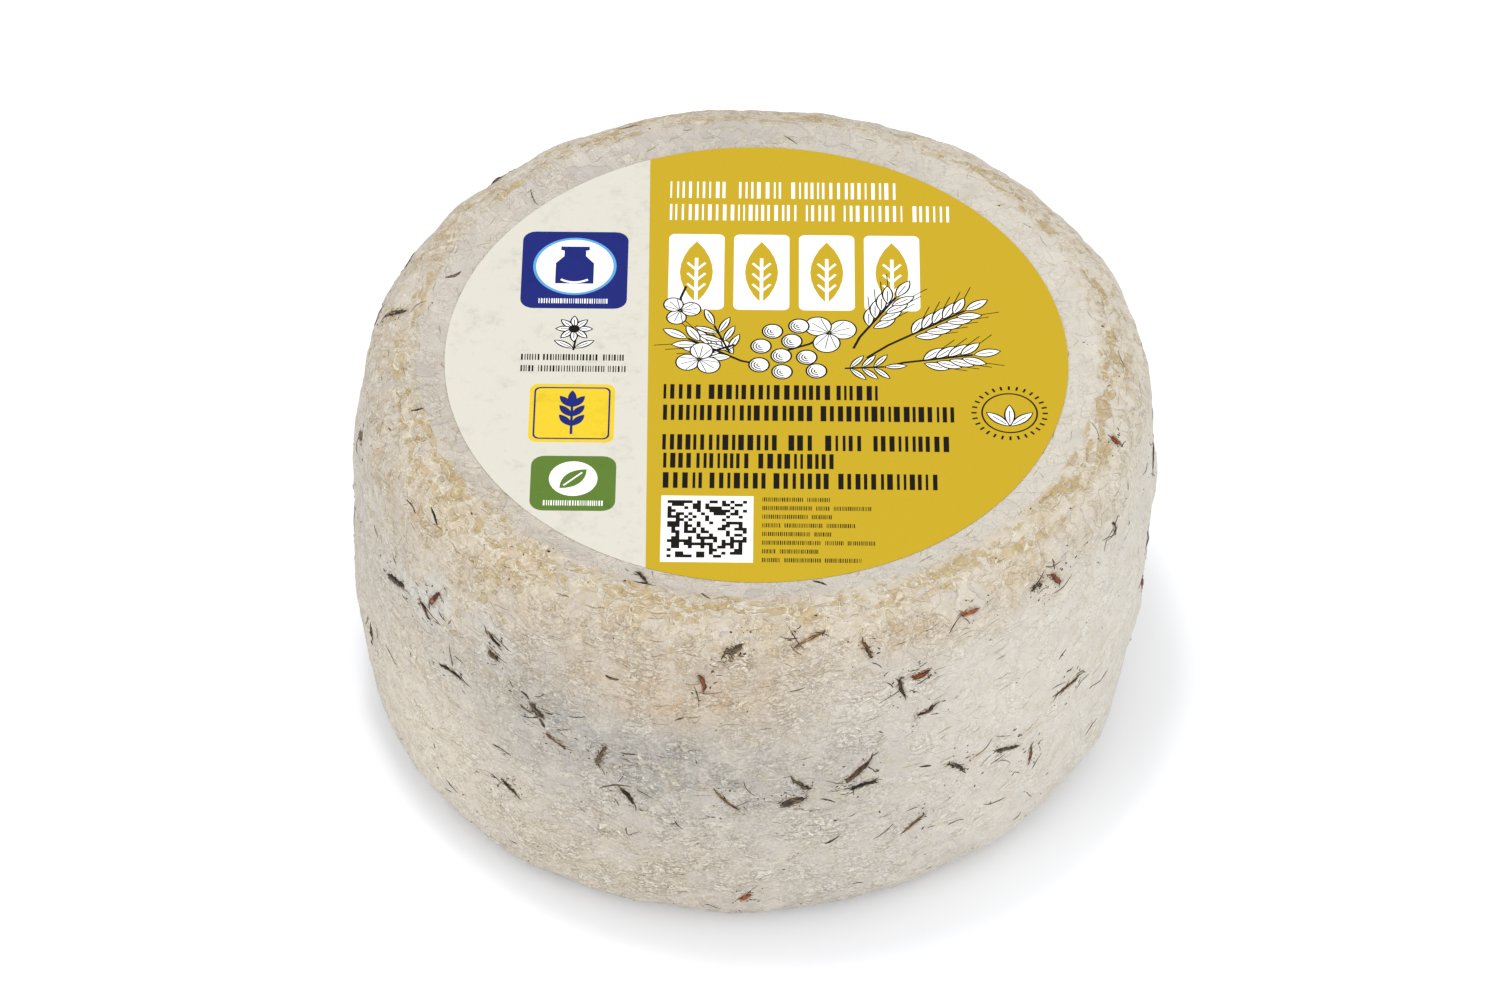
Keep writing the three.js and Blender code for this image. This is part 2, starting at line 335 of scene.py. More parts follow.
def closed_tree(shape, material, tree_out):
    """The last nodes of a tree: the shape is smooth, real and has its material."""
    shape = shape.beside("GeometryNodeSetShadeSmooth", {}, {"Geometry": shape})
    shape = shape.beside("GeometryNodeRealizeInstances", {}, {"Geometry": shape})
    shape = shape.beside("GeometryNodeSetMaterial", {}, {"Geometry": shape, "Material": material})
    feed(tree_out, Geometry=shape)


def grown_by(tree, name, start, **inputs):
    """The plain mesh that the tree makes from a starting mesh, as an object of this name."""
    piece = new_object(name, start)
    modifier = piece.modifiers.new(name, "NODES")
    modifier.node_group = tree
    for item in tree.interface.items_tree:
        label = item.name.lower().replace(" ", "_")
        if item.in_out == "INPUT" and label in inputs:
            modifier[item.identifier] = inputs[label]
    graph = bpy.context.evaluated_depsgraph_get()
    mesh = bpy.data.meshes.new_from_object(
        piece.evaluated_get(graph), preserve_all_data_layers=True, depsgraph=graph
    )
    piece.modifiers.remove(modifier)
    piece.data = mesh
    mesh.name = name
    return piece


# Each run, and how many rows of the grid lie above it: few rows under the label and the base, and one
# for every 0.8 mm of the rind that shows.
ROW_STOPS = ((0.0, 0), (68.0, 8), (186.0, 154), (end_run, 165))
CLOSE_POINTS = 0.01 * MM

wheel_tree, given, tree_out = new_tree(
    "Cheese wheel",
    {"Columns": (int, 581), "Rows": (int, ROW_STOPS[-1][1] + 1), "Rind": ("NodeSocketMaterial", None)},
    {"Geometry": "NodeSocketGeometry"},
)
wheel_shape, place = grid_in(given["Columns"], given["Rows"])
bearing = (place.part(0) + 0.5) * (2 * pi)
row = (0.5 - place.part(1)) * ROW_STOPS[-1][1]
run = 0.0
for (start_run, start_row), (stop_run, stop_row) in zip(ROW_STOPS, ROW_STOPS[1:]):
    share = ((row - start_row) / (stop_row - start_row)).clamped()
    run = share * (stop_run - start_run) + run
even = on_rind(bearing, run, output="Even")
fields = {
    "run": run,
    "even": even,
    "swirl": sway(even, 4.5, 21.0, 4.0, detail=1.0),
    "large_patch": even.cloud(26.0),
    "patch": even.cloud(8.0, apart=5.0),
    "crag": on_rind(bearing, run, output="Crag"),
}
for name, field in fields.items():
    wheel_shape = stored(wheel_shape, name, field)
wheel_shape = moved(wheel_shape, on_rind(bearing, run), CLOSE_POINTS)
closed_tree(wheel_shape, given["Rind"], tree_out)


def paint(red, green, blue):
    """A colour as it looks on screen, from 0 to 255, as Blender's own even scale has it."""
    shares = [channel / 255 for channel in (red, green, blue)]
    evened = [s / 12.92 if s <= 0.04045 else ((s + 0.055) / 1.055) ** 2.4 for s in shares]
    return (*evened, 1.0)


def new_finish(name, **even_values):
    """A material and its shader, which has these values all over."""
    material = bpy.data.materials.new(name)
    material.use_nodes = True
    shader = material.node_tree.nodes["Principled BSDF"]
    for label, value in even_values.items():
        shader.inputs[label.replace("_", " ")].default_value = value
    return material, shader


def read(tree, name, output="Fac"):
    """What the points of the mesh hold under this name."""
    return Field(Field.node(tree, "ShaderNodeAttribute", {"attribute_name": name}, {}).outputs[output])


def bumped(shader, height, depth, strength=1.0):
    """Gives the shader relief that is too fine for the mesh, this deep where the height is 1."""
    relief = {"Strength": strength, "Distance": depth, "Height": height}
    feed(shader, Normal=height.beside("ShaderNodeBump", {}, relief))


rind, shader = new_finish("cheese_rind", Specular_IOR_Level=0.3)
tree = rind.node_tree
place = read(tree, "even", "Vector")
swirl = read(tree, "swirl", "Vector")
run = read(tree, "run")
large = read(tree, "large_patch")
patch = read(tree, "patch")
crag = read(tree, "crag")
herb_gap = read(tree, "herb_gap")


def spot(bearing, height, wide, tall):
    """From 1 in the middle of a round spot on the wall to 0 at its edge."""
    angle = radians(bearing)
    middle = (WHEEL_RADIUS * cos(angle) / wide, WHEEL_RADIUS * sin(angle) / wide, height / tall)
    scaled = place * (1 / wide, 1 / wide, 1 / tall)
    return scaled.worked("DISTANCE", middle).eased(1.0, 0.0)


def scratches(flat, angle, length, width, kept, apart):
    """Hair-fine tapered marks that lie one way, each in a cell of its own: 1 on a mark and 0 beside it."""
    cosine = cos(radians(angle))
    sine = sin(radians(angle))
    across, upward = flat.part(0), flat.part(1)
    onward = (across * cosine + upward * sine) / length + apart
    aside = (upward * cosine - across * sine) / width + apart
    settings = {"voronoi_dimensions": "2D", "feature": "F1"}
    inputs = {"Vector": joined(onward, aside, 0.0), "Scale": 1.0}
    cell = Field.node(flat.socket.id_data, "ShaderNodeTexVoronoi", settings, inputs)
    chance = Field(cell.outputs["Color"]).part(0)
    return Field(cell.outputs["Distance"]).eased(0.36, 0.16) * chance.eased(1.0 - kept, 1.05 - kept)


def line_at(field, level, width):
    """1 along the line where the field passes this level, fading to 0 on both sides."""
    gap = field - level
    return gap.worked("ABSOLUTE").eased(width, width * 0.25)


# The flat map again, opened at the back: how far round from the front, and how far down the rind.
round_from_front = place.part(0).worked("ARCTAN2", place.part(1) * -1.0) * WHEEL_RADIUS
flat = joined(round_from_front, run * -1.0, 0.0)
wavy = flat + swirl * 0.9

# The clouds that every layer of the rind is drawn from, the finest first.
granules = (place + swirl * 0.2).cells(0.75, apart=17.0)
grain = place.cloud(0.65, detail=1.5, roughness=0.9, apart=13.0) * 0.7 + (granules - 0.48) * 1.7
level_marks = wavy.cloud(0.6, roughness=0.7, stretch=(3.0, 1.0, 1.0), apart=43.0)
vein = wavy.cloud(1.5, detail=0.9, stretch=(2.0, 1.0, 1.0), apart=71.0)
dimple = (place + swirl * 0.5).cloud(1.9, detail=1.0, stretch=(1.0, 1.0, 0.55), apart=63.0)
small = place.cloud(2.2, detail=3.0, roughness=0.75, stretch=(1.0, 1.0, 0.65), apart=9.0)
pit = wavy.cloud(2.4, stretch=(4.2, 1.0, 1.0), apart=3.0)
fold = (place + swirl * 1.7).cloud(3.4, detail=1.0, apart=33.0)
crease = (place - swirl * 1.3).cloud(5.5, detail=1.0, apart=53.0)

# Where on the wheel the layers lie.
rightward = place.part(0) / WHEEL_RADIUS
right_side = rightward.eased(0.1, 0.6)
left_front = spot(214, 82, 60, 46)
lip = run.eased(76.5, 78.5) * run.eased(89.0, 82.0)
shoulder = run.eased(76.5, 81.0) * run.eased(106.0, 88.0)
belt = run.eased(126.0, 132.0) * run.eased(143.0, 136.0)

# Broad tints over cream and grey: painted light, paler to the right; blue-grey in the middle of the front,
# partly the rind's own and partly painted shade; and warm on the shoulder and low down. Then come mottles
# a few millimetres across, a warmer foot in front, and a thin pale film with a lighter rim.
warmth = large * 0.5 + patch * 0.45 + small * 0.25 + 0.5
# Painted light: the right side of the rind is painted paler.
painted_light_right = rightward.eased(-0.1, 0.9) * (patch * 0.3 + 0.8)
# Blue-grey, partly the rind's own tone and partly painted shade on the left front.
grey_zone = spot(244, 62, 50, 30) + spot(268, 56, 46, 24) * 0.8
blue_grey = grey_zone * (patch * 0.5 + small * 0.3 + 0.85)
low_left = spot(214, 28, 58, 46) * (patch * 0.3 + 0.9)
warm_edge = (shoulder + left_front * 0.6) * (patch * 0.5 + small * 0.4 + 0.65)
warm_edge = warm_edge * (0.8 - place.part(1).eased(-75.0, -20.0) * 0.5)
nutty = spot(260, 80, 46, 18) * (small * 0.4 + patch * 0.4 + 0.85)
olive = (swirl.part(0) + small * 0.5).eased(0.3, 1.0)
rosy = (swirl.part(1) + small * 0.5).eased(0.3, 1.0)
cold = (swirl.part(2) + small * 0.5 - shoulder * 1.2 - nutty).eased(0.3, 1.0)
low_front = spot(250, 18, 52, 34) * (patch * 0.4 + small * 0.2 + 0.6)
film_field = crease + small * 0.35 + large * 0.3
film = film_field.eased(0.0, 0.2)
film_rim = line_at(film_field, 0.04, 0.09)
TINTS = (
    (painted_light_right, (215, 209, 197)),
    (blue_grey.clamped(0.0, 0.95), (168, 164, 158)),
    (low_left, (216, 206, 187)),
    (warm_edge, (199, 180, 150)),
    (nutty.clamped(0.0, 0.95), (193, 171, 142)),
    (olive * 0.35, (192, 181, 152)),
    (rosy * 0.25, (198, 182, 164)),
    (cold * 0.25, (190, 189, 186)),
    (low_front.clamped(0.0, 0.8), (205, 193, 170)),
    (film * 0.2 + film_rim * 0.4, (220, 213, 200)),
)
colour = warmth.blended(paint(185, 178, 171), paint(200, 192, 181))
for share, tint in TINTS:
    colour = share.blended(colour, paint(*tint))

# Pits along the lip and over the left shoulder show the ochre curd under the rind.
long_pits = pit.eased(0.15, 0.4) * lip
small_pits = fold.eased(-0.2, -0.5) * (shoulder * 0.7 + left_front).clamped()
small_pits = small_pits * (patch + small * 0.4).eased(-0.6, 0.3)
dimple = dimple + left_front * 0.3 + shoulder * 0.2 - right_side * 0.1
thin_film = lip * (patch * 0.6 + small * 0.5 + 0.45).clamped() * 0.5
ochre = long_pits * 0.9 + small_pits * (left_front * 0.25 + 0.5) + dimple.eased(0.85, 1.1) * 0.5
ochre = ochre + thin_film + pit.eased(0.3, 0.8) * belt * 0.35
ochre = (ochre * (grain * 0.2 + small * 0.3 + 0.85)).clamped()
honey = small.eased(-0.7, 0.7).blended(paint(186, 160, 116), paint(178, 159, 116))
colour = ochre.blended(colour, honey)

# Pale folds of dried curd run between the pits.
curdy = (shoulder * 0.5 + left_front * 0.8 + low_left * 0.2 + 0.68 - right_side * 0.2).clamped(0.0, 1.2)
folds = line_at(fold, -0.25, 0.1) * (patch + small * 0.5).eased(-0.5, 0.3) + line_at(crease, 0.0, 0.06)
folds = (folds + line_at(pit, 0.08, 0.12) * lip * 0.7) * curdy
ridges = (folds + line_at(dimple, 0.72, 0.12) * curdy * 0.8).clamped() * (small * 0.6 + 0.8)
plateaus = fold.eased(0.2, 0.6) * curdy
colour = (ridges * 0.85 + plateaus * 0.2).blended(colour, paint(218, 209, 190))

# On the left shoulder each herb lies in a pale halo.
halo = (herb_gap + small * 1.2).eased(4.6, 3.2) * left_front
colour = (halo * 0.5).blended(colour, paint(206, 206, 202))

# Fine marks: the grain, which is crisp on the wall and soft on the lip and to the right, veins,
# hair scratches, level marks of the cloth, and wrinkles on the far edge.
grainy = (patch * 0.5 + swirl.part(1) * 0.4 + small * 0.2 + 0.75).clamped(0.25, 1.2)
crispness = run.eased(82.0, 92.0) * (1.0 - right_side * 0.7) * (1.0 - low_left * 0.6) * 1.6
crispness = (crispness + 0.7 - right_side * 0.2) * grainy
crispness = crispness * (run.eased(136.0, 152.0) * 0.2 + 1.0) * (1.0 - left_front * 0.5)
dark_hairs = (
    scratches(wavy, 6, 8.0, 0.5, 0.07, apart=11.0)
    + scratches(wavy, 40, 5.0, 0.45, 0.035, apart=15.0)
    + scratches(wavy, -35, 5.0, 0.45, 0.035, apart=19.0)
).clamped()
wrinkled = spot(125, WHEEL_HEIGHT, 34, 30) * run.eased(84.0, 78.0)
wrinkles = scratches(flat, 88, 11.0, 0.9, 0.8, apart=35.0) * wrinkled
level_lines = level_marks.eased(0.6, 1.2) * (grey_zone * 0.7 + 0.3).clamped()
broken = (grain * 0.9 + small * 0.3 + 0.4).clamped()
veined = crispness * (crease * 0.6 + patch * 0.4 + 0.7).clamped(0.1, 1.3)
# Pale veins, each with a dark line beside it: painted shade in its groove.
fine_ridges = line_at(vein, 0.2, 0.2) * veined
fine_grooves = line_at(vein, -0.1, 0.2) * veined
# Painted shadows along the foot of folds, film rims and dimples.
foot_shadows = (line_at(fold, -0.42, 0.1) + line_at(film_field, -0.12, 0.1)) * curdy
foot_shadows = (foot_shadows + line_at(dimple, 1.0, 0.1) * 0.5) * (broken * 0.8 + 0.2)
specks = (grain + small * 0.4).eased(0.6, 1.2) * (run.eased(84.0, 78.0) + crispness * 0.2)
tan_specks = (grain * 1.2 + small * 0.3 - patch * 0.3).eased(0.3, 0.8) * crispness * 0.1
colour = tan_specks.clamped(0.0, 0.6).blended(colour, paint(158, 142, 120))
dots = (grain * -1.0).eased(0.5, 1.0) * crispness
# A dark rim right round each herb: part stain, part painted contact shade.
rim_stain_shade = (herb_gap + grain * 0.5).eased(0.9, 0.1)

# How light each place is, from the rind's own marks and from painted light and shade.
# What is darker is browner than the rest, as dry rind is.
# Darker on the top ring, down the wall and on the lip, and lighter at the back of the top.
shade = 0.92 - spot(268, 60, 70, 60) * 0.02 - run.eased(80.0, 76.0) * 0.065
# The wall is darkened less to the right: painted light on that side.
shade = shade - run.eased(82.0, 92.0) * (0.09 - right_side * 0.03) - shoulder * 0.03
shade = shade + spot(125, WHEEL_HEIGHT, 44, 30) * 0.06
# Rises of the mesh relief are painted lighter and its hollows darker: painted light and shade.
shade = shade + (grain * 0.14 + small * 0.03 + level_marks * 0.05) * crispness + crag * 0.05 + dots * 0.06
# Pale veins, painted shade in the grooves beside them, and painted shadow at the foot of folds.
shade = shade + fine_ridges * 0.08 - fine_grooves * broken * 0.11 - foot_shadows * 0.19
# Specks, level marks, hairs and wrinkles of the rind, and herb rims of stain and painted contact shade.
shade = shade - specks * 0.14 - level_lines * 0.14 - dark_hairs * 0.4 - wrinkles * 0.15 - rim_stain_shade * 0.28
colour = colour * joined(shade * 0.88 + 0.103, shade, shade * 1.16 - 0.138)
feed(shader, Base_Color=colour, Roughness=(small * 0.1 - ochre * 0.2 + 0.72).clamped(0.35, 1.0))

# The relief that is too fine for the mesh, in millimetres.
height = folds.clamped() * 0.14 + plateaus * 0.05 + film * 0.07 - long_pits * 0.12 - small_pits * 0.07
height = height + small * crispness * 0.1 + fine_ridges * 0.08 - fine_grooves * 0.06 - wrinkles * 0.14
bumped(shader, height, MM)

wheel = grown_by(wheel_tree, "wheel", bpy.data.meshes.new("wheel_start"), rind=rind)
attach(wheel, "root")
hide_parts("cheese_wheel")


# Dried bread herbs lie pressed in the rind: seeds, leaf flakes, husks and bits of straw. Each is a slim
# body that follows the rind, with its underside sunk in it. The boldest are those of the front, listed one
# by one, and a seeded rule spreads the rest.
herb_tree, given, tree_out = new_tree(
    "Herbs",
    {
        "Geometry": ("NodeSocketGeometry", None),
        "Rings": (int, 9),
        "Sides": (int, 9),
        **{name: (float, 0.0) for name in ("Bluntness", "Proud", "Sunk", "Tip Rise", "Ragged")},
        "Flesh": ("NodeSocketMaterial", None),
    },
    {"Geometry": "NodeSocketGeometry"},
)
CLOSE_SHARE = 0.0001  # of a body's length: points nearer than this become one
unit, place = grid_in(given["Rings"], given["Sides"])
along = place.part(0)
turned_by = place.part(1) * (-2 * pi)
nearness = (along * 2.0).worked("ABSOLUTE")
fullness = 1.0 - nearness ** given["Bluntness"]
girth = fullness.clamped().worked("SQRT")
across = girth * turned_by.worked("COSINE") * 0.5
unit = moved(unit, joined(along, across, girth * turned_by.worked("SINE")), CLOSE_SHARE)
unit_place = along.beside("GeometryNodeInputPosition", {}, {})
for axis, name in enumerate(("along", "across", "upward")):
    unit = stored(unit, name, unit_place.part(axis))
herbs = unit.beside("GeometryNodeInstanceOnPoints", {}, {"Points": given["Geometry"], "Instance": unit})
herbs = herbs.beside("GeometryNodeRealizeInstances", {}, {"Geometry": herbs})


def held(name):
    """What the herbs' tree reads from each point under this name."""
    settings = {"data_type": "FLOAT"}
    return herbs.beside("GeometryNodeInputNamedAttribute", settings, {"Name": name}, "Attribute")


def torn(place, apart):
    """How far the ragged edge is out of place here."""
    return place.cloud(0.7, detail=3.0, roughness=0.7, apart=apart) * given["Ragged"]


along = held("along")
upward = held("upward")
slant = held("slant")
middle_bearing = held("bearing")
middle_run = held("run")
length_along = along * held("length")
width_across = held("across") * held("width")
squared = along * along * 4.0
own_place = joined(middle_bearing * WHEEL_RADIUS + length_along, middle_run, width_across)
onward = length_along + torn(own_place, 51.0)
aside = width_across + (squared - 0.33) * held("bend") * held("length") + torn(own_place, 0.0)
proud = upward.worked("MAXIMUM", 0.0) * given["Proud"]
sunk = upward.worked("MINIMUM", 0.0) * given["Sunk"]
lift = proud + sunk + squared * given["Tip Rise"]
middle_radius = on_rind(middle_bearing, middle_run, output="Radius")
cosine = slant.worked("COSINE")
sine = slant.worked("SINE")
bearing = middle_bearing + (onward * cosine - aside * sine) / middle_radius
run = middle_run - onward * sine - aside * cosine
herbs = stored(herbs, "own", own_place)
herbs = moved(herbs, on_rind(bearing, run, lift))
closed_tree(herbs, given["Flesh"], tree_out)


def draws(seed):
    """A seeded run of even draws from 0 to 1, each worked out from the last."""
    state = seed
    while True:
        state = state * 16807 % 2147483647
        yield state / 2147483647


# The least and the greatest length of each kind, and then its width.
HERB_SIZES = {
    "seed": ((4.0, 7.5), (0.8, 1.5)),
    "leaf": ((3.5, 7.0), (1.2, 2.2)),
    "husk": ((2.6, 5.0), (0.9, 1.5)),
    "straw": ((5.0, 10.0), (0.6, 0.9)),
}
SPREAD_KINDS = ("seed", "leaf", "seed", "husk", "leaf", "straw")
SPREAD_COUNT = 64
SPREAD_ROOM = 8.0
SPREAD_FROM = 345  # degrees, from the right side round the back to the left one
SPREAD_TURN = 215
SPREAD_RUNS = (80, 176)
MIDDLE_RUN = 134  # about which they lie thickest

# Each has its kind, bearing, run, length, width and slant, in degrees and millimetres.
FRONT_HERBS = (
    ("leaf", 209, 115, 8, 1.6, 18), ("husk", 219, 107, 6.8, 1.2, 62),
    ("seed", 217, 113, 5.3, 0.8, -41), ("seed", 231, 106, 5.4, 0.8, -28),
    ("seed", 251, 76, 5.3, 0.9, -41), ("husk", 318, 96, 5.9, 1.2, -58),
    ("leaf", 314, 94, 3.1, 1.2, 0), ("husk", 302, 91, 4.7, 0.8, -6),
    ("husk", 342, 85, 3, 1.2, -90), ("seed", 333, 99, 4.1, 0.8, -79),
    ("straw", 278, 88, 8.1, 0.6, 22), ("seed", 223, 125, 9, 0.8, 3),
    ("leaf", 239, 120, 4.7, 1.9, -40), ("leaf", 231, 111, 3.2, 1.4, 0),
    ("seed", 242, 127, 5.8, 0.8, -26), ("seed", 234, 151, 5.8, 0.8, -26),
    ("leaf", 249, 127, 7.8, 1.2, 75), ("seed", 253, 138, 5.8, 1.2, -51),
    ("straw", 267, 135, 8.6, 0.7, -49), ("husk", 263, 99, 5.2, 0.9, -73),
    ("leaf", 267, 90, 4.1, 1.4, 21), ("husk", 270, 170, 3.7, 1.4, 42),
    ("seed", 286, 92, 5.4, 0.9, -69), ("seed", 291, 105, 6.7, 0.8, -76),
    ("husk", 294, 103, 4.8, 1.2, 6), ("seed", 295, 114, 6.3, 0.8, 18),
    ("straw", 321, 133, 10.9, 0.7, -5), ("leaf", 309, 139, 7.9, 1, -22),
    ("seed", 314, 147, 7, 0.8, 87), ("seed", 285, 128, 8.5, 1.6, 45),
    ("leaf", 286, 133, 6.5, 1, 4), ("leaf", 300, 136, 8, 1.2, -49),
    ("leaf", 276, 135, 5.5, 2.1, 27), ("leaf", 277, 129, 6.6, 1, -43),
    ("seed", 294, 151, 7.6, 0.8, 32),
)


def spread_herbs(draw):
    """Herbs with room between them, thickest about the middle of the wall."""
    herbs = []
    while len(herbs) < SPREAD_COUNT:
        kind = SPREAD_KINDS[len(herbs) % len(SPREAD_KINDS)]
        bearing = SPREAD_FROM + SPREAD_TURN * next(draw)
        run = between(SPREAD_RUNS, next(draw))
        run += (MIDDLE_RUN - run) * 0.5 * next(draw)
        length, width = (between(ends, next(draw)) for ends in HERB_SIZES[kind])
        slant = 180 * next(draw) - 90
        gaps = (
            hypot(radians(bearing - other[1]) * WHEEL_RADIUS, run - other[2]) for other in herbs
        )
        if all(gap > SPREAD_ROOM for gap in gaps):
            herbs.append((kind, bearing, run, length, width, slant))
    return herbs


own_draw = draws(417)


def herb_piece(name, rows, flesh, **inputs):
    """One piece of like herbs, each with its own bend and shade. The inputs are those of the tree."""
    start = bpy.data.meshes.new(name + "_start")
    start.from_pydata([(0.0, 0.0, 0.0)] * len(rows), [], [])
    columns = {
        "bearing": [radians(row[1]) for row in rows],
        "run": [row[2] for row in rows],
        "length": [row[3] for row in rows],
        "width": [row[4] for row in rows],
        "slant": [radians(row[5]) for row in rows],
        "bend": [(next(own_draw) - 0.5) * 0.3 for row in rows],
        "tone": [next(own_draw) for row in rows],
    }
    for label, values in columns.items():
        start.attributes.new(label, "FLOAT", "POINT").data.foreach_set("value", values)
    piece = grown_by(herb_tree, name, start, flesh=flesh, **inputs)
    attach(piece, "root")
    return piece


def herb_finish(name, dark, light, tip, film_from):
    """Dried plant, streaked along its length and covered in places by a film of the rind."""
    material, shader = new_finish(name, Specular_IOR_Level=0.2)
    tree = material.node_tree
    own = read(tree, "own", "Vector")
    streaks = own.cloud(0.28, roughness=0.7, stretch=(8.0, 1.0, 1.0))
    flecks = own.cloud(1.2, detail=3.0, roughness=0.7, apart=5.0)
    mottle = read(tree, "tone") * 0.7 + streaks * 0.9 + flecks * 0.3 - 0.05
    colour = mottle.blended(paint(*dark), paint(*light))
    colour = ((read(tree, "along") * 2.0).eased(0.3, 1.0) * 0.6).blended(colour, paint(*tip))
    glint = (streaks + flecks * 0.3).eased(0.45, 0.9)
    colour = (glint * 0.6).blended(colour, paint(166, 152, 128))
    sinking = (read(tree, "upward") * -1.6 + 0.7).clamped(-0.3, 1.0)
    film = (flecks * 0.9 + streaks * 0.5 + sinking).eased(film_from, film_from + 0.25)
    colour = (film * 0.85).blended(colour, paint(178, 170, 156))
    feed(shader, Base_Color=colour, Roughness=(streaks * 0.1 + 0.6).clamped(0.3, 1.0))
    bumped(shader, streaks + film, 0.12 * MM)
    return material


all_herbs = list(FRONT_HERBS) + spread_herbs(draws(2611))


def of_kind(kind):
    return [row for row in all_herbs if row[0] == kind]


seed_skin = herb_finish("seed_skin", (26, 21, 17), (116, 84, 54), (20, 17, 15), 0.4)
seeds = herb_piece(
    "seeds", of_kind("seed"), seed_skin,
    rings=17, sides=11, bluntness=2.2, proud=0.4, sunk=0.35, tip_rise=-0.25, ragged=0.32,
)
dried_leaf = herb_finish("dried_leaf", (24, 23, 22), (116, 98, 74), (60, 44, 32), 0.3)
leaf_flakes = herb_piece(
    "leaf_flakes", of_kind("leaf"), dried_leaf,
    rings=21, sides=13, bluntness=4.0, proud=0.28, sunk=0.3, tip_rise=-0.1, ragged=0.6,
)
seed_husk = herb_finish("seed_husk", (78, 36, 20), (176, 102, 52), (44, 26, 18), 0.55)
husks = herb_piece(
    "husks", of_kind("husk"), seed_husk,
    rings=17, sides=11, bluntness=2.6, proud=0.45, sunk=0.3, tip_rise=-0.15, ragged=0.42,
)
straw = herb_finish("straw", (72, 52, 34), (152, 118, 74), (48, 34, 26), 0.8)
straws = herb_piece(
    "straws", of_kind("straw"), straw,
    rings=21, bluntness=5.0, proud=0.3, sunk=0.3, tip_rise=-0.2, ragged=0.15,
)


# Between the herbs lie hair-fine threads of hay and stalk and the dust of the spices. They are too
# fine to stand out in relief, so that only their colour tells from a step away.
def scattered(count, runs, lengths, widths):
    """Loose rows, three in four of them close to a bold herb and the others anywhere on the rind."""
    rows = []
    for _ in range(count):
        if next(own_draw) < 0.75:
            bearing, run, length = all_herbs[int(next(own_draw) * len(all_herbs))][1:4]
            reach = length * 0.4 + 4.0 * next(own_draw) ** 2
            angle = 2 * pi * next(own_draw)
            bearing += degrees(reach * cos(angle) / WHEEL_RADIUS)
            run += reach * sin(angle)
        else:
            bearing = 360 * next(own_draw)
            run = between(runs, next(own_draw))
        length = between(lengths, next(own_draw) ** 2)
        width = between(widths, next(own_draw))
        slant = 90 * (next(own_draw) + next(own_draw) - 1.0)
        rows.append(("loose", bearing, run, length, width, slant))
    return rows


# Slim slivers of the front, as the bold herbs above: bearing, run, length, width and slant.
FRONT_SLIVERS = (
    (136, 73, 6.8, 0.25, 62), (84, 72, 5.6, 0.3, 142), (161, 74, 5.2, 0.8, 144),
    (195, 79, 3.5, 0.6, 90), (210, 91, 5.8, 0.5, -5), (215, 88, 5.7, 0.6, -21),
    (201, 111, 3.9, 0.3, -23), (221, 110, 3.5, 0.4, -25), (262, 78, 3.4, 0.4, -37),
    (281, 74, 4.4, 0.6, -35), (318, 92, 3.5, 0.4, 84), (250, 103, 4.0, 0.7, -7),
    (276, 101, 4.8, 0.4, 12), (237, 117, 3.5, 0.7, -25), (253, 124, 4.5, 0.4, 6),
    (260, 110, 3.4, 0.4, 36), (251, 136, 9.7, 0.5, 24), (233, 139, 6.9, 0.5, -4),
    (253, 150, 3.6, 0.3, -77), (254, 150, 4.1, 0.3, 47), (319, 120, 3.8, 0.4, 16),
    (330, 144, 12.5, 0.3, -14), (281, 136, 5.1, 0.5, -29), (295, 132, 3.8, 0.7, -15),
    (282, 150, 4.7, 0.6, 32), (308, 157, 8.4, 0.4, -17), (222, 166, 5.4, 0.3, -16),
    (240, 123, 3.4, 0.8, -62), (237, 121, 4.4, 0.5, -18), (241, 119, 3.0, 0.5, 12),
)


def fringes(count):
    """Split fibres that run along each bold herb and stand off at its ends."""
    rows = []
    for _, bearing, run, length, width, slant in all_herbs:
        for _ in range(count):
            onward = (next(own_draw) - 0.5) * length * 1.1
            angle = radians(slant)
            fibre_bearing = bearing + degrees(onward * cos(angle) / WHEEL_RADIUS)
            fibre_run = run - onward * sin(angle) + (next(own_draw) - 0.5) * width
            fibre_length = length * (0.25 + 0.45 * next(own_draw))
            fibre_width = 0.15 + 0.2 * next(own_draw)
            fibre_slant = slant + 80 * (next(own_draw) - 0.5)
            rows.append(("fringe", fibre_bearing, fibre_run, fibre_length, fibre_width, fibre_slant))
    return rows


thread_rows = [("sliver", *row) for row in FRONT_SLIVERS] + fringes(5)
thread_rows += scattered(380, (76, 182), (1.5, 9.0), (0.14, 0.3))
hay_thread = herb_finish("hay_thread", (34, 28, 24), (124, 104, 78), (40, 30, 24), 0.6)
herb_piece(
    "threads", thread_rows, hay_thread,
    rings=9, sides=5, bluntness=3.0, proud=0.14, sunk=0.12, tip_rise=-0.08, ragged=0.14,
)
dust_rows = scattered(1100, (74, 184), (0.3, 1.2), (0.2, 0.5))
ground_spice = herb_finish("spice_dust", (32, 27, 24), (106, 82, 60), (40, 32, 28), 0.7)
herb_piece(
    "spice_dust", dust_rows, ground_spice,
    rings=4, sides=6, bluntness=2.5, proud=0.12, sunk=0.15, tip_rise=0.0, ragged=0.2,
)

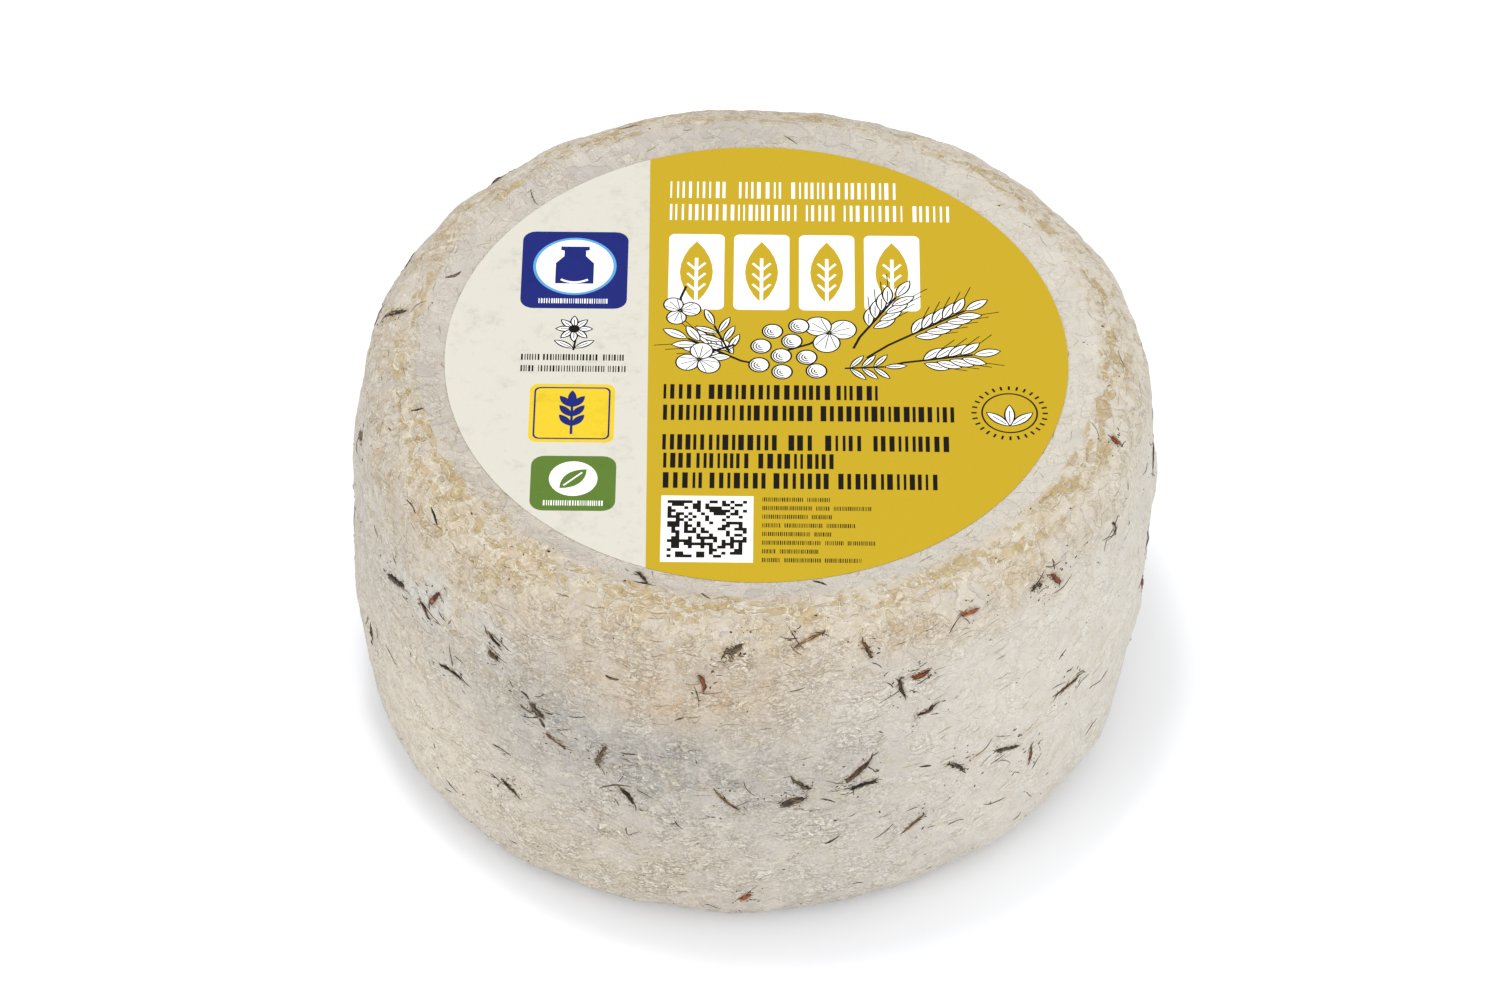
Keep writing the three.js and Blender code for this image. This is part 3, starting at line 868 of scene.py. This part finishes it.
# The rind has taken up colour from each herb round about it, and is painted with a contact shade right
# at its edge, for which each of its points holds how many millimetres it lies from the nearest one.
herb_places = [point.co for piece in (seeds, leaf_flakes, husks, straws) for point in piece.data.vertices]
near_herbs = kdtree.KDTree(len(herb_places))
for index, herb_place in enumerate(herb_places):
    near_herbs.insert(herb_place, index)
near_herbs.balance()
gaps = [near_herbs.find(point.co)[2] / MM for point in wheel.data.vertices]
wheel.data.attributes.new("herb_gap", "FLOAT", "POINT").data.foreach_set("value", gaps)

# The label is a disc of printed paper, stuck flat on the smooth top. Its print is laid down in flat
# colours, each over the last, from a left field of cream and a right one of mustard.
LABEL_RADIUS = 70.7
PAPER = 0.12
label_middle = (label_low + label_high) / 2
label_middle.z = label_low.z


def arc(x, y, radius, first, last, steps):
    """Points on a round arc from one angle to another, in degrees."""
    angles = [radians(first + (last - first) * step / steps) for step in range(steps + 1)]
    return [(x + radius * cos(angle), y + radius * sin(angle)) for angle in angles]


def disc(x, y, radius, steps=40):
    return arc(x, y, radius, 0, 360, steps)[:-1]


def turned(points, x, y, angle):
    """The points turned by this angle in degrees and then moved by x and y."""
    cosine = cos(radians(angle))
    sine = sin(radians(angle))
    return [(x + px * cosine - py * sine, y + px * sine + py * cosine) for px, py in points]


def panel(left, low, right, high, corner):
    """A rectangle with round corners."""
    return (
        arc(right - corner, high - corner, corner, 0, 90, 5)
        + arc(left + corner, high - corner, corner, 90, 180, 5)
        + arc(left + corner, low + corner, corner, 180, 270, 5)
        + arc(right - corner, low + corner, corner, 270, 360, 5)
    )


def stroke(points, width):
    """A line of this width through the points."""
    sides = [[], []]
    for index, (x, y) in enumerate(points):
        before = points[max(index - 1, 0)]
        after = points[min(index + 1, len(points) - 1)]
        right, up = after[0] - before[0], after[1] - before[1]
        length = hypot(right, up)
        aside, ahead = -up / length * width / 2, right / length * width / 2
        sides[0].append((x + aside, y + ahead))
        sides[1].append((x - aside, y - ahead))
    return sides[0] + sides[1][::-1]


def blade(length, width, steps=8):
    """A leaf that is pointed at both ends, from the origin along +X."""
    shares = [step / steps for step in range(steps + 1)]
    upper = [(share * length, sin(pi * share) ** 0.8 * width / 2) for share in shares]
    lower = [(x, -y) for x, y in upper[1:-1]]
    return upper + lower[::-1]


INKS = {
    "mustard": paint(187, 158, 33),
    "cream": paint(206, 203, 192),
    "white": paint(246, 246, 244),
    "black": paint(20, 14, 8),
    "deep blue": paint(26, 36, 112),
    "sky blue": paint(92, 160, 212),
    "green": paint(88, 118, 46),
    "yellow": paint(222, 192, 44),
}
print_shapes = []


def ink(name, points):
    """Lays down one flat shape. Its outline is kept in the order that runs round it to the left."""
    pairs = zip(points, points[1:] + points[:1])
    doubled_area = sum(x * next_y - next_x * y for (x, y), (next_x, next_y) in pairs)
    print_shapes.append((INKS[name], points if doubled_area > 0 else points[::-1]))


def block(left, low, right, high):
    return [(left, low), (right, low), (right, high), (left, high)]


def leaf(name, x, y, angle, length, width):
    ink(name, turned(blade(length, width), x, y, angle))


def rib(name, x, y, angle, start, end, width):
    """A straight line that starts and ends this far from a point, toward the angle."""
    ink(name, turned(stroke([(start, 0.0), (end, 0.0)], width), x, y, angle))


def outlined_leaf(x, y, angle, length, width):
    """A white leaf with a black outline and a black rib."""
    inside = [(px + 0.4, py) for px, py in blade(length - 0.8, width - 0.75)]
    leaf("black", x, y, angle, length, width)
    ink("white", turned(inside, x, y, angle))
    rib("black", x, y, angle, length * 0.15, length * 0.7, 0.22)


bar_draw = draws(53)


def bars(name, left, low, height, widths, weight=0.15, gap=1.0):
    """A row of slim upright bars, in groups of these widths."""
    for width in widths:
        end = left + width
        while left < end:
            bar = height * weight * (0.6 + 0.9 * next(bar_draw))
            ink(name, block(left, low, left + bar, low + height))
            left += bar + height * (0.12 + 0.1 * next(bar_draw))
        left = end + gap


EDGE_TOP = -25.3  # of the edge between the fields, which leans a hair
EDGE_LOW = -23.9
first_angle = degrees(acos(EDGE_TOP / LABEL_RADIUS))
last_angle = 360 - degrees(acos(EDGE_LOW / LABEL_RADIUS))
ink("mustard", disc(0.0, 0.0, LABEL_RADIUS, 240))
ink("cream", arc(0.0, 0.0, LABEL_RADIUS, first_angle, last_angle, 160))

bars("white", -20.4, 53.0, 5.6, (13.4, 9.6, 24.0), 0.11, 2.6)
bars("white", -20.4, 45.4, 5.4, (29.0, 6.2, 13.4, 9.0), 0.11, 2.6)

# Four white tiles, each with a mustard leaf and its white ribs.
for index in range(4):
    left = -20.4 + index * 15.0
    middle = left + 6.4
    ink("white", panel(left, 15.4, left + 12.8, 40.6, 1.4))
    leaf("mustard", middle, 17.6, 90, 20.6, 7.6)
    rib("white", middle, 17.6, 90, 0.0, 15.0, 0.8)
    for height in (21.5, 25.0, 28.5):
        for side in (50, 130):
            rib("white", middle, height, side, 0.0, 3.2, 0.6)


def grass_ear(x, y, angle, stem, grains):
    """A stem that ends in an ear of paired grains with fine beards."""
    reach = stem + grains * 2.9
    ink("black", turned(stroke([(0.0, 0.0), (stem * 0.5, 0.6), (reach, 0.0)], 0.6), x, y, angle))
    for index in range(grains):
        for side in (1, -1):
            at = turned([(stem + index * 2.9, side * 0.5)], x, y, angle)[0]
            ink("black", turned(stroke([(5.0, 0.0), (10.0, 0.5)], 0.22), *at, angle + side * 28))
            outlined_leaf(*at, angle + side * 30, 6.2, 2.7)
    outlined_leaf(*turned([(reach, 0.0)], x, y, angle)[0], angle, 6.6, 2.8)


def twig(x, y, angle, pairs, size):
    """A stem with paired narrow leaves and one at its end."""
    reach = pairs * size * 0.55
    rib("black", x, y, angle, 0.0, reach, 0.5)
    for index in range(pairs):
        for side in (1, -1):
            at = turned([(size * (0.2 + index * 0.5), 0.0)], x, y, angle)[0]
            outlined_leaf(*at, angle + side * 48, size, size * 0.34)
    outlined_leaf(*turned([(reach, 0.0)], x, y, angle)[0], angle, size, size * 0.36)


def clover(x, y, angle, size):
    """Three round leaflets with fine veins on a bent stalk."""
    stalk = stroke([(0.0, 0.0), (-size, -size * 0.35), (-size * 2.0, -size * 0.4)], 0.6)
    ink("black", turned(stalk, x, y, angle))
    for third in (0, 120, 240):
        middle = turned([(size * 0.62, 0.0)], x, y, angle + third)[0]
        ink("black", disc(*middle, size * 0.6, 22))
        ink("white", disc(*middle, size * 0.6 - 0.35, 22))
        for side in (-28, 0, 28):
            rib("black", x, y, angle + third + side, 0.3, size * 0.95, 0.2)


def round_seed(x, y, radius):
    """A round seed with curved hatching on its shaded side."""
    ink("black", disc(x, y, radius, 22))
    ink("white", disc(x, y, radius - 0.4, 22))
    for share in (0.72, 0.46, 0.2):
        ink("black", stroke(arc(x, y, radius * share, 130, 290, 8), 0.28))


ROUND_SEEDS = (
    (1.0, 3.5), (5.6, 0.4), (8.0, 5.2), (11.4, 0.0), (0.6, -2.6),
    (3.6, 8.4), (9.6, 10.2), (5.8, -4.8), (13.6, -4.4),
)
grass_ear(22.0, 3.0, 60, 8.0, 4)
grass_ear(25.0, 0.0, 35, 13.0, 5)
grass_ear(29.0, -3.0, 12, 9.0, 4)
grass_ear(-1.0, -2.0, 152, 5.0, 4)
twig(-6.0, 1.0, 112, 3, 6.0)
twig(20.0, -3.5, 4, 3, 5.4)
clover(-13.0, -1.0, 200, 4.6)
clover(-17.5, 15.0, 250, 4.0)
clover(16.5, 8.0, 20, 5.4)
for x, y in ROUND_SEEDS:
    round_seed(x, y, 2.5)

bars("black", -20.9, -13.8, 4.7, (8.0, 17.0, 7.4, 9.0), 0.19, 2.2)
bars("black", -20.9, -20.6, 4.9, (33.0, 30.0), 0.19, 2.4)
bars("black", -20.9, -30.0, 4.9, (26.0, 6.0, 8.6, 16.6), 0.19, 2.2)
bars("black", -20.6, -35.7, 4.7, (5.2, 11.6, 16.2), 0.19, 2.2)
bars("black", -20.6, -42.0, 4.9, (8.2, 12.0, 12.2, 22.4), 0.19, 2.2)

# A white square with a seeded scatter of black cells.
CELLS = 19
cell_draw = draws(97)
cell = 17.6 / CELLS
ink("white", block(-20.8, -64.8, -0.4, -44.4))
for across in range(CELLS):
    for upward in range(CELLS):
        if next(cell_draw) < 0.46:
            x = -19.4 + across * cell
            y = -63.4 + upward * cell
            ink("black", block(x, y, x + cell, y + cell))

SMALL_ROWS = (
    (9.0, 5.0), (11.0, 3.0, 8.4), (10.0, 4.6), (4.0, 8.4, 6.0),
    (10.6, 3.6), (13.0, 4.0, 6.0), (3.0, 8.4), (4.0, 8.0, 8.0),
)
for row, widths in enumerate(SMALL_ROWS):
    bars("black", 1.6, -46.0 - row * 2.66, 1.3, widths, gap=0.9)

# Three leaves in a ring of ticks.
ink("black", disc(57.0, -17.4, 6.4, 48))
ink("mustard", disc(57.0, -17.4, 6.0, 48))
for angle in (40, 90, 140):
    outlined_leaf(57.0, -21.6, angle, 7.0, 2.6)
for step in range(28):
    ink("black", turned(block(7.4, -0.25, 8.6, 0.25), 57.0, -17.4, step * 360 / 28))

# A milk can in a ringed white disc on a deep-blue panel.
ink("deep blue", panel(-54.2, 15.3, -29.8, 41.0, 3.0))
ink("sky blue", disc(-42.0, 29.4, 9.6, 48))
ink("white", disc(-42.0, 29.4, 8.9, 48))
can_side = [(4.4, 23.6), (4.4, 30.4), (2.5, 32.8), (2.5, 34.6), (3.3, 34.8), (3.3, 36.0)]
ink("deep blue", [(-42.0 + x, y) for x, y in can_side] + [(-42.0 - x, y) for x, y in can_side[::-1]])
ink("white", stroke(arc(-42.0, 29.4, 5.4, 235, 305, 8), 0.6))
bars("white", -50.0, 17.0, 1.6, (16.0,))

# A daisy over its stalk and two leaves.
ink("black", stroke([(-41.6, 1.6), (-41.2, 5.0), (-41.6, 8.6)], 0.5))
for angle in range(0, 360, 45):
    outlined_leaf(-41.6, 8.6, angle, 4.4, 2.0)
ink("black", disc(-41.6, 8.6, 1.3, 16))
for angle in (30, 150):
    outlined_leaf(-41.5, 2.2, angle, 5.4, 1.9)
bars("black", -53.4, -1.7, 2.0, (4.0, 12.6, 4.6))
bars("black", -53.4, -5.4, 2.0, (3.0, 14.8, 4.0))

# An ear of grain on a yellow panel with a thin blue frame.
ink("yellow", panel(-51.0, -28.0, -31.8, -9.4, 2.0))
ink("deep blue", panel(-50.0, -27.0, -32.8, -10.4, 1.4))
ink("yellow", panel(-49.6, -26.6, -33.2, -10.8, 1.2))
for reach in (0.0, 3.0, 6.0):
    for side in (38, -38):
        leaf("deep blue", -41.4, -22.8 + reach, 90 + side, 4.6, 1.9)
leaf("deep blue", -41.4, -16.4, 90, 5.0, 2.0)
ink("deep blue", stroke([(-41.4, -25.4), (-41.4, -15.6)], 0.6))

# A leaf in a white disc on a green panel.
ink("green", panel(-50.0, -49.4, -31.0, -32.3, 3.0))
ink("white", disc(-40.5, -39.4, 5.4, 40))
leaf("green", -43.5, -42.4, 45, 8.4, 4.0)
rib("white", -43.5, -42.4, 45, 1.2, 7.0, 0.4)
bars("white", -47.0, -47.8, 1.6, (13.0,))

CUT_CLOSENESS = 0.0001  # corners nearer than this become one


def printed_mesh(name, shapes):
    """A flat mesh cut along every outline. Each face has the colour of the last shape that holds it."""
    points = []
    outlines = []
    for _, shape in shapes:
        outlines.append(list(range(len(points), len(points) + len(shape))))
        points += [Vector(point) for point in shape]
    flat, _, faces, _, _, holders = geometry.delaunay_2d_cdt(points, [], outlines, 1, CUT_CLOSENESS)
    mesh = bpy.data.meshes.new(name)
    mesh.from_pydata([(point.x * MM, point.y * MM, 0.0) for point in flat], [], faces)
    inks = mesh.attributes.new("ink", "FLOAT_COLOR", "FACE")
    for index, held_by in enumerate(holders):
        inks.data[index].color = shapes[max(held_by)][0]
    mesh.transform(Matrix.Translation(label_middle + Vector((0.0, 0.0, PAPER * MM))))
    return mesh


printed_paper, shader = new_finish("printed_paper", Specular_IOR_Level=0.08)
tree = printed_paper.node_tree
place = Field(Field.node(tree, "ShaderNodeTexCoord", {}, {}).outputs["Object"]) * 1000.0
on_cream = place.part(0).eased(-23.8, -25.2)
smudge = place.cloud(6.0, detail=4.0, roughness=0.8).eased(0.0, 1.0) * on_cream * 0.15
fibre = place.cloud(0.5)
printed = read(tree, "ink", "Color") * (1.0 - smudge + fibre * 0.006)
feed(shader, Base_Color=printed, Roughness=fibre * 0.03 + 0.55)
bumped(shader, fibre, 0.03 * MM, strength=0.3)

paper = new_object("paper_label", printed_mesh("paper_label", print_shapes))
paper.data.materials.append(printed_paper)
thickness = paper.modifiers.new("paper", "SOLIDIFY")
thickness.thickness = PAPER * MM
thickness.offset = -1.0
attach(paper, "root")
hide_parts("label")


# The wheel stands on a plain white studio floor in an even pale light. A small soft window above throws
# a faint shadow to the right, and a wide fill light stands on each side of the camera.
FLOOR_REACH = 3.0
FLOOR_LEVEL = -0.05 * MM  # a hair under the base, so that no two faces share a plane
floor_sides = ((-1, -1), (1, -1), (1, 1), (-1, 1))
floor_mesh = bpy.data.meshes.new("studio_floor")
floor_mesh.from_pydata(
    [(x * FLOOR_REACH, y * FLOOR_REACH, FLOOR_LEVEL) for x, y in floor_sides], [], [(0, 1, 2, 3)]
)
studio_floor = new_object("studio_floor", floor_mesh)
floor_finish, shader = new_finish("studio_floor", Base_Color=paint(249, 251, 255), Roughness=0.9)
floor_mesh.materials.append(floor_finish)

world = bpy.data.worlds.new("studio")
bpy.context.scene.world = world
world.use_nodes = True
room_light = world.node_tree.nodes["Background"]
room_light.inputs["Color"].default_value = (1.0, 1.0, 1.0, 1.0)
room_light.inputs["Strength"].default_value = 0.94


def lamp(name, place, size, watts):
    """A square soft light that faces the wheel."""
    light = new_object(name, bpy.data.lights.new(name, "AREA"))
    light.data.size = size
    light.data.energy = watts
    toward = Vector((0.0, 0.0, 0.05)) - Vector(place)
    light.matrix_world = Matrix.Translation(place) @ toward.to_track_quat("-Z", "Y").to_matrix().to_4x4()


lamp("window", (-0.12, 0.08, 1.35), 0.2, 4.2)
lamp("right_fill", (1.1, -1.2, 0.6), 0.8, 7.0)
lamp("left_fill", (-1.2, -1.1, 0.6), 0.8, 8.0)
